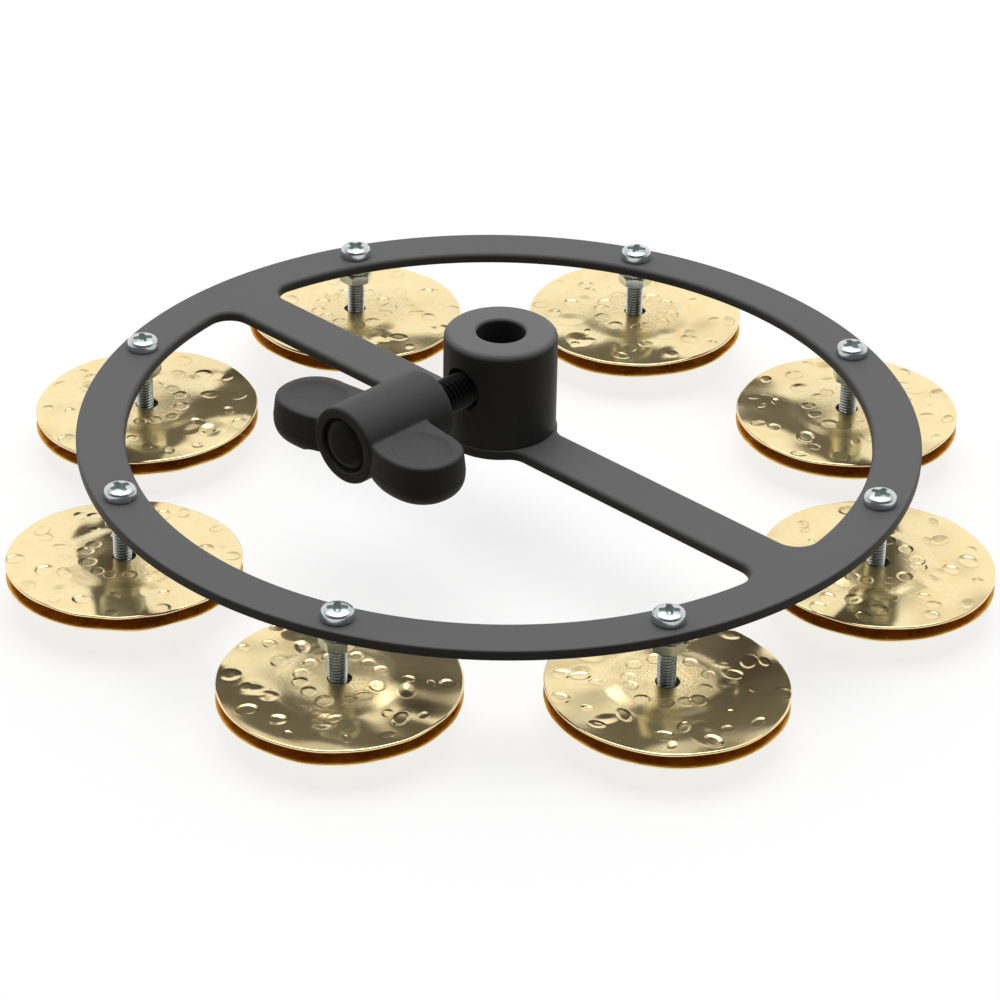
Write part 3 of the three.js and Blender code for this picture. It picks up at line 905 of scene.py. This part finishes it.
def part_line(wing, level):
    """A fine groove where the mould's halves met; the lower half stands a hair inside the upper."""
    vertices = wing.data.vertices
    points, normals = np.empty((2, len(vertices), 3))
    vertices.foreach_get("co", points.reshape(-1))
    vertices.foreach_get("normal", normals.reshape(-1))
    above = points[:, 2] - level
    below = np.clip(-above / PARTING_STEP_WIDTH, 0, 1)
    fade = np.clip((above + PARTING_STEP_REACH) / PARTING_STEP_FADE, 0, 1)
    groove = np.exp(-(above / PARTING_GROOVE_WIDTH) ** 2)
    outside = np.clip((np.abs(points[:, 0]) - BARREL_RADIUS - PARTING_CLEARANCE) / PARTING_FADE, 0, 1)
    depth = (PARTING_STEP * below * fade + PARTING_GROOVE * groove) * outside
    points[:, :2] -= normals[:, :2] * depth[:, None]
    vertices.foreach_set("co", points.reshape(-1))


def wing_boss():
    """The domed boss that stands on the pocket's floor."""
    shoulder, shoulder_rise = BOSS_SHOULDER_SHARES
    floor = cad_box("wing_handle")[1][1] - BARREL_LENGTH + POCKET_DEPTH
    boss = turned("wing_boss", [
        (0, 0, 0), (BOSS_RADIUS, 0, 0), (BOSS_RADIUS, BOSS_EDGE, BOSS_EDGE_ROUND),
        (BOSS_RADIUS * shoulder, BOSS_EDGE + BOSS_DOME * shoulder_rise, BOSS_SHOULDER_ROUND),
        (0, BOSS_EDGE + BOSS_DOME, 0),
    ], 96, steps=6)
    return to_metres(lying(boss, floor, clamp_level()))


# Screws, nuts and washers

def screw():
    """A pan head screw with its tip on the origin and a cross recess in its head."""
    low, high = cad_box("screw_1")
    foot = cad_box("frame_plate")[1][2]
    side_top = foot + HEAD_SIDE
    top = high[2]
    head = (high[0] - low[0]) / 2 + HEAD_GROWTH
    under = rounded([(0, foot, 0), (head, foot, HEAD_FOOT_ROUND), (head, side_top, 0)], 4)
    power = 2 / HEAD_EXPONENT
    crown = [(head * math.cos(a) ** power, side_top + (top - side_top) * math.sin(a) ** power)
             for a in np.linspace(*CROWN_ANGLES, 16)]
    end = foot - SCREW_THREAD_RUNOUT
    rows = np.concatenate([
        tip_rows(SCREW_RADIUS - SCREW_TIP_CHAMFER, SCREW_TIP_EDGE),
        thread_rows(SCREW_RADIUS, THREAD_PITCH, THREAD_DEPTH, SCREW_THREAD_START, end),
        turned_rows([(SCREW_RADIUS, foot)] + list(under[1:-1]) + crown + [(0, top)], THREAD_SIDES),
    ])
    item = loops_to_mesh("screw", rows, sharp=HEAD_ANGLE)
    carve(item, cross_cutter(top))
    shade(item, HEAD_ANGLE)
    return to_metres(item)


def cross_cutter(top):
    """The cutter for the cross recess, which narrows downwards and ends in a point."""
    arm = ((RECESS_HALF_WIDTH, RECESS_HALF_WIDTH, RECESS_CORNER_ROUND),
           (RECESS_HALF_WIDTH, RECESS_ARM, RECESS_END_ROUND),
           (-RECESS_HALF_WIDTH, RECESS_ARM, RECESS_END_ROUND))
    corners = []
    for turn in np.arange(4) * QUARTER:
        cos, sin = math.cos(turn), math.sin(turn)
        corners += [(x * cos - y * sin, x * sin + y * cos, corner) for x, y, corner in arm]
    outline = np.array(rounded(corners, 3))
    levels = ((top + RECESS_OVERRUN, RECESS_MOUTH_SHARE),
              (top - RECESS_DEPTH, RECESS_TAPER_SHARE),
              (top - RECESS_DEPTH - RECESS_POINT, 0.0))
    rows = [raised(outline * share, height) for height, share in levels]
    return loops_to_mesh("cross", rows, capped=True)


def recess_faces(item, material):
    """Gives the faces inside a screw's recess their own material, the darker zinc of the painted shade."""
    item.data.materials.append(material)
    head_foot = cad_box("frame_plate")[1][2] * MM
    floor = (cad_box("screw_1")[1][2] - RECESS_DEPTH / 2) * MM
    for face in item.data.polygons:
        place = face.center
        inside = place.z > head_foot and place.xy.length < RECESS_ARM * MM
        if inside and (face.normal.z < RECESS_WALL_FACING or place.z < floor):
            face.material_index = 1


def hexagon_rows(corners):
    """Rows of (radius, height, on_flats): where on_flats is set, the radius follows the hexagon."""
    angles = np.arange(NUT_SIDES) * TURN / NUT_SIDES
    hexagon = NUT_FLATS / 2 / np.cos(angles % (TURN / 6) - TURN / 12)
    rows = []
    for radius, height, flats in corners:
        if flats:
            radius = hexagon
            height = height - flats * (hexagon - NUT_FACE) * math.tan(NUT_CHAMFER)
        rows.append(around(radius, height, NUT_SIDES))
    return rows


def hex_nut(height):
    sink = NUT_HOLE_RADIUS + NUT_SINK
    rows = hexagon_rows([
        (NUT_HOLE_RADIUS, NUT_SINK, 0), (sink, 0, 0), (NUT_FACE, 0, 0), (0, 0, -1),
        (0, height, 1), (NUT_FACE, height, 0), (sink, height, 0), (NUT_HOLE_RADIUS, height - NUT_SINK, 0),
    ])
    return to_metres(loops_to_mesh("hex_nut", rows, closed=True, sharp=NUT_ANGLE))


def lock_nut(height):
    """A lock nut with its seat on top and its round collar below."""
    collar = rounded([
        (INSERT_RADIUS, INSERT_HEIGHT, 0), (INSERT_RADIUS - INSERT_LIP, 0, INSERT_LIP),
        (COLLAR_RADIUS, 0, COLLAR_ROUND), (COLLAR_RADIUS, COLLAR_HEIGHT, 0),
    ])
    rows = hexagon_rows([
        (NUT_HOLE_RADIUS, INSERT_HEIGHT, 0),
        *((x, y, 0) for x, y in collar),
        (NUT_FACE, COLLAR_HEIGHT, 0), (0, COLLAR_HEIGHT, -1), (0, height, 1), (NUT_FACE, height, 0),
        (NUT_HOLE_RADIUS + NUT_SINK, height, 0), (NUT_HOLE_RADIUS, height - NUT_SINK, 0),
    ])
    return to_metres(loops_to_mesh("lock_nut", rows, closed=True, sharp=NUT_ANGLE))


def nylon_ring():
    """The ring in a lock nut's collar, sunk a little and a hair tighter than the nut's hole."""
    inner = NUT_HOLE_RADIUS - NYLON_GRIP
    top = INSERT_HEIGHT - NYLON_TOP_GAP
    return to_metres(turned("nylon_ring", [
        (inner, NYLON_SINK, NYLON_ROUND), (INSERT_RADIUS - 2 * NYLON_TAPER, NYLON_SINK, NYLON_EDGE_ROUND),
        (INSERT_RADIUS - NYLON_TAPER, top, 0), (inner, top, NYLON_ROUND),
    ], 64, 4))


def tube(name, clearance, outer, height, rounds, sides, steps):
    """A plain ring round the screw; each of its corners has its own rounding."""
    inner = NUT_HOLE_RADIUS + clearance
    corners = ((inner, 0), (outer, 0), (outer, height), (inner, height))
    profile = [(*corner, rounding) for corner, rounding in zip(corners, rounds)]
    return to_metres(turned(name, profile, sides, steps))


def spring_washer(radius, height):
    """One turn of a square wire with its ends sprung apart."""
    inner = NUT_HOLE_RADIUS + WASHER_CLEARANCE
    corners = ((inner, 0), (radius, 0), (radius, height), (inner, height))
    section = np.array(rounded([(*corner, SPRING_WIRE_ROUND) for corner in corners], 3))
    middle = height / 2
    squeeze = 1 - SPRING_LEAD / height
    rows = []
    for angle in np.linspace(SPRING_GAP / 2, TURN - SPRING_GAP / 2, 90):
        climb = SPRING_LEAD * (angle / TURN - 0.5)
        rows.append([(x * math.cos(angle), x * math.sin(angle), middle + (y - middle) * squeeze + climb)
                     for x, y in section])
    return to_metres(loops_to_mesh("spring_washer", rows, capped=True, sharp=THIN_ANGLE))


# Jingles

def smooth_step(value):
    value = np.clip(value, 0, 1)
    return value * value * (3 - 2 * value)


def pick(draw, value):
    """A number from a range, or the number itself."""
    return draw.uniform(*value) if isinstance(value, tuple) else value


def mark(x, y, place, size, kind, draw):
    """Height of one mark, a leaning bowl with a low lip, and the painted shade in a broken line round it.
    """
    width = size * pick(draw, kind.width)
    turn = draw.uniform(0, TURN)
    depth = pick(draw, kind.depth) * size ** kind.growth
    floor = pick(draw, kind.floor)
    lean = pick(draw, kind.lean)
    dx = x - place[0]
    dy = y - place[1]
    u = (dx * math.cos(turn) + dy * math.sin(turn)) / size
    v = (dy * math.cos(turn) - dx * math.sin(turn)) / width
    distance = np.sqrt(u * u + v * v)
    bowl = smooth_step((distance - floor) / (1 - floor)) - 1
    lip = np.exp(-((distance - LIP_SHARES[0]) / LIP_SHARES[1]) ** 2)
    # Painted shade along the mark's crease.
    line = np.exp(-((distance - CREASE_SHARES[0]) / CREASE_SHARES[1]) ** 2)
    broken = np.clip(0.55 + 0.45 * np.sin(2.2 * u + 1.4 * v), 0, 1)
    return depth * (bowl * (1 + lean * u) + kind.lip * lip), line * broken * pick(draw, kind.brown)


def near_circle(draw, angle, circle, spread):
    ring = circle + draw.uniform(-spread, spread)
    return ring * math.cos(angle), ring * math.sin(angle)


def hammered(x, y, rim, draw):
    """Height of a hammered disc above its rim, and the painted shade in the marks' creases at each point.
    """
    radius = np.hypot(x, y)
    foot = smooth_step((radius - PLATEAU_RADIUS) / (PLATEAU_FOOT - PLATEAU_RADIUS))
    height = PLATEAU_STEP * (1 - foot) + (PLATEAU_RISE - PLATEAU_STEP) * (1 - (radius / rim) ** 2)
    for _ in range(WAVES):
        heading = draw.uniform(0, TURN)
        wave = TURN / draw.uniform(*WAVE_LENGTHS)
        swing = draw.uniform(*WAVE_HEIGHTS)
        phase = draw.uniform(0, TURN)
        height += swing * np.sin(wave * (x * math.cos(heading) + y * math.sin(heading)) + phase)
    for _ in range(SOFT_DENTS):
        angle = draw.uniform(0, TURN)
        place = near_circle(draw, angle, SOFT_CIRCLE_SHARE * rim, SOFT_SPREAD_SHARE * rim)
        height += mark(x, y, place, draw.uniform(*SOFT.size), SOFT, draw)[0]
    crease_shade = np.zeros_like(x)
    rings = [(PUNCH_COUNT, PUNCH_CIRCLE, PUNCH_SPREAD, PUNCH)]
    rings += [(count, share * rim, STRIKE_SPREAD_SHARE * rim, STRIKE) for share, count in STRIKE_RINGS]
    for count, circle, spread, kind in rings:
        start = draw.uniform(0, TURN)
        for i in range(count):
            size = draw.uniform(*kind.size)
            angle = start + TURN * (i + draw.uniform(-SWING_SHARE, SWING_SHARE)) / count
            place = near_circle(draw, angle, circle, spread)
            depth, line = mark(x, y, place, size, kind, draw)
            height += depth
            crease_shade = np.maximum(crease_shade, line)
    return height, crease_shade


def disc_rows(rim, draw):
    """A hammered disc lying on its rim, as closed loops from the hole outwards and back below."""
    hole_edge = JINGLE_HOLE + JINGLE_HOLE_EDGE
    rings = np.concatenate([
        np.linspace(hole_edge, PLATEAU_FOOT, JINGLE_RINGS // 2),
        np.linspace(PLATEAU_FOOT, rim - RIM_ROUND, JINGLE_RINGS // 2)[1:],
    ])

    def loops(radii, heights):
        return around(np.asarray(radii, float)[:, None], heights, JINGLE_SIDES)

    flat = loops(rings, 0)
    height, crease_shade = hammered(flat[..., 0], flat[..., 1], rim, draw)
    top = height + JINGLE_THICKNESS
    under = np.append(rings[::-3], hole_edge)
    bottom = np.array([np.interp(under, rings, column) for column in top.T]).T - JINGLE_THICKNESS
    edge = (RIM_ROUND, JINGLE_THICKNESS - RIM_ROUND)
    rows = np.concatenate([
        loops(rings, top),
        loops([rim, rim], [top[-1] - drop for drop in edge]),
        loops(under, bottom),
        loops([JINGLE_HOLE] * 2, [top[0] - drop for drop in edge[::-1]]),
    ])
    return rows, np.vstack([crease_shade, np.zeros((len(rows) - len(crease_shade), JINGLE_SIDES))])


def jingle(side, number, seed):
    """One disc of a pair, as it hangs loose on its screw; the lower one lies upside down."""
    low, high = cad_box(f"jingle_{side}_{number}")
    rows, crease_shade = disc_rows((high[0] - low[0]) / 2, np.random.default_rng(seed))
    if side == "upper":
        rows[..., 2] += low[2]
    else:
        rows[..., 2] = high[2] - rows[..., 2]
    heading, lean, away = (math.radians(value) for value in LEANS[number - 1])
    down = np.array([math.cos(heading), math.sin(heading)])
    rows[..., 2] -= math.tan(lean) * (rows[..., :2] @ down)
    rows[..., :2] += LOOSE_SHIFT * np.array([math.cos(away), math.sin(away)])
    disc = loops_to_mesh(f"{side}_disc_{number}", rows, closed=True, sharp=THIN_ANGLE, crease_shade=crease_shade)
    to_metres(disc)
    disc.location.xy = station_axis(number) * MM
    return disc


def inner_faces(disc, material, side):
    """Gives the faces that look up (1) or down (-1) their own material."""
    disc.data.materials.append(material)
    for face in disc.data.polygons:
        if face.normal.z * side > INNER_FACING:
            face.material_index = 1


# Put everything in its place

# Each coat gets a grey for its sides and a paler grey for what faces up, painted light from above.
coat = powder_coat("frame_coat", side=0.05, top=0.13, roughness=0.42, specular=0.06)
hub_coat = powder_coat("hub_coat", side=0.045, top=0.165, roughness=0.36, specular=0.04)
plastic = moulded_plastic("wing_plastic", side=0.035, top=0.08, roughness=0.5)
boss_plastic = moulded_plastic("boss_plastic", side=0.01, top=0.03, roughness=0.36)
oxide = black_oxide("bolt_oxide")
bright_zinc = zinc_plate("bright_zinc", roughness=0.26, thread_end=level_of("frame_plate")[0])
# Painted shade: a darker, greenish zinc for the screws' recesses.
shaded_recess_zinc = shaded_zinc_recess("shaded_recess_zinc")
dull_zinc = zinc_plate("nut_zinc", roughness=0.17)
gold = polished_brass("hammered_brass")
amber = inner_face_brass("inner_brass")
black_nylon = nylon("spacer_nylon", low=(0.010, 0.010, 0.011), high=(0.02, 0.02, 0.022), roughness=0.5)
pale_nylon = nylon("insert_nylon", low=(0.55, 0.62, 0.68), high=(0.66, 0.72, 0.76), roughness=0.45)

dress(frame_plate(), "frame", "frame_paint", coat, "frame_plate")
dress(hub_bush(), "frame", "hub_paint", hub_coat, "hub")
dress(clamp_bolt(), "clamp_bolt", "black_steel", oxide, "clamp_bolt")
dress(wing_handle(), "wing", "wing_moulding", plastic, "wing_handle")
dress(wing_boss(), "wing", "wing_moulding", boss_plastic)

washer_level, washer_height = level_of("washers_1")
nut_level, nut_height = level_of("hex_nut_1")
lock_level, lock_height = level_of("lock_nut_1")
spacer_level, spacer_height = level_of("jingle_spacer_1")
masters = {
    "zinc_screw": screw(),
    "flat_washer": tube("flat_washer", WASHER_CLEARANCE, FLAT_WASHER_RADIUS,
                        washer_height - SPRING_HEIGHT, WASHER_ROUNDS, 96, 3),
    "spring_washer": spring_washer(SPRING_RADIUS, SPRING_HEIGHT),
    "zinc_nut": hex_nut(nut_height),
    "lock_nut": lock_nut(lock_height),
    "lock_ring": nylon_ring(),
    "disc_spacer": tube("spacer", SPACER_CLEARANCE, SPACER_RADIUS, spacer_height, SPACER_ROUNDS, 64, 4),
}


def fasten(number):
    """The screw of one station with all that sits on it, but the discs."""
    x, y = station_axis(number)
    recess_turn, hex_turn, lock_turn = (
        math.radians(turns[number - 1]) for turns in (RECESS_TURNS, HEX_TURNS, LOCK_TURNS))
    flat_level = washer_level + SPRING_HEIGHT
    fittings = (
        ("zinc_screw", 0, recess_turn, "frame", "zinc_screw", bright_zinc, "screw"),
        ("flat_washer", flat_level, 0, "frame", "zinc_washer", dull_zinc, "washers"),
        ("spring_washer", washer_level, lock_turn, "frame", "zinc_washer", dull_zinc, None),
        ("zinc_nut", nut_level, hex_turn, "frame", "zinc_nut", dull_zinc, "hex_nut"),
        ("lock_nut", lock_level, lock_turn, "frame", "zinc_nut", dull_zinc, "lock_nut"),
        ("lock_ring", lock_level, 0, "frame", "spacer_nylon", pale_nylon, None),
        ("disc_spacer", spacer_level, 0, f"spacer_{number}", "spacer_nylon", black_nylon, "jingle_spacer"),
    )
    for kind, level, turn, body, slot, material, node in fittings:
        piece = copy_at(masters[kind], f"{kind}_piece_{number}", x, y, level, turn)
        nodes = [f"{node}_{number}"] if node else []
        dress(piece, body, slot, material, *nodes)
        if kind == "zinc_screw":
            recess_faces(piece, shaded_recess_zinc)


def hang_pair(number):
    """The two discs of one station, polished outside and a darker, more orange brass inside."""
    for side, seed, inside in (("upper", UPPER_SEED, -1), ("lower", LOWER_SEED, 1)):
        disc = jingle(side, number, seed + number)
        dress(disc, f"{side}_jingle_{number}", "jingle_brass", gold, f"jingle_{side}_{number}")
        inner_faces(disc, amber, inside)


for station in STATIONS:
    fasten(station)
    hang_pair(station)
for master in masters.values():
    bpy.data.objects.remove(master)


# Floor, light and camera

def stage_floor():
    """A pale floor that reads as white and still takes the shadow."""
    bpy.ops.mesh.primitive_plane_add(size=FLOOR_SIZE)
    floor = bpy.context.object
    floor.name = "pale_floor"
    s = Shader("floor_paper")
    diffuse = s.add("ShaderNodeBsdfDiffuse", {"Color": (FLOOR_GREY, FLOOR_GREY, FLOOR_GREY, 1)})
    strength = s.math("MULTIPLY", s.seen(), FLOOR_LIFT)
    lift = s.add("ShaderNodeEmission", {"Color": (1, 1, 1, 1), "Strength": strength})
    both = s.add("ShaderNodeAddShader", {0: diffuse.outputs["BSDF"], 1: lift.outputs["Emission"]})
    s.surface("ShaderNodeOutputMaterial", both)
    floor.data.materials.append(s.material)


def stage_world():
    """White behind the object, and all round it a room that mirrors show and that is dimmer in places."""
    world = bpy.data.worlds.new("studio")
    bpy.context.scene.world = world
    world.use_nodes = True
    s = Nodes(world.node_tree)
    place = s.add("ShaderNodeTexCoord").outputs["Generated"]

    def along(axis):
        return s.add("ShaderNodeVectorMath", {0: place, 1: axis}, operation="DOT_PRODUCT").outputs["Value"]

    height = s.mapped(along((0, 0, 1)), 0, 1, 0, 1)
    side = s.mapped(along((CAMERA_FORWARD[0], CAMERA_FORWARD[1], 0)), *ROOM_SEAM, ROOM_FRONT, 1.0)
    room = s.math("MULTIPLY", s.ramp(height, *ROOM_STOPS), side)
    camera = s.add("ShaderNodeLightPath").outputs["Is Camera Ray"]
    strength = s.add("ShaderNodeMix", {0: camera, 2: room, 3: 1.0}).outputs[0]
    background = s.add("ShaderNodeBackground", {"Color": (1, 1, 1, 1), "Strength": strength})
    s.surface("ShaderNodeOutputWorld", background)


def stage_lamp():
    """One large square lamp that faces down."""
    data = bpy.data.lights.new("top_lamp", "AREA")
    data.size = LAMP_SIZE
    data.energy = LAMP_POWER
    linked("top_lamp", data).location = LAMP_PLACE


def stage_camera():
    data = bpy.data.cameras.new("photo_view")
    data.lens = CAMERA_LENS
    data.sensor_width = CAMERA_SENSOR
    data.clip_end = CAMERA_REACH
    item = linked("photo_view", data)
    axes = Matrix((CAMERA_RIGHT, CAMERA_UP, [-value for value in CAMERA_FORWARD])).transposed()
    item.matrix_world = Matrix.Translation(CAMERA_PLACE) @ axes.to_4x4()
    bpy.context.scene.camera = item


stage_floor()
stage_world()
stage_camera()
stage_lamp()
bpy.context.scene.view_settings.view_transform = "Standard"
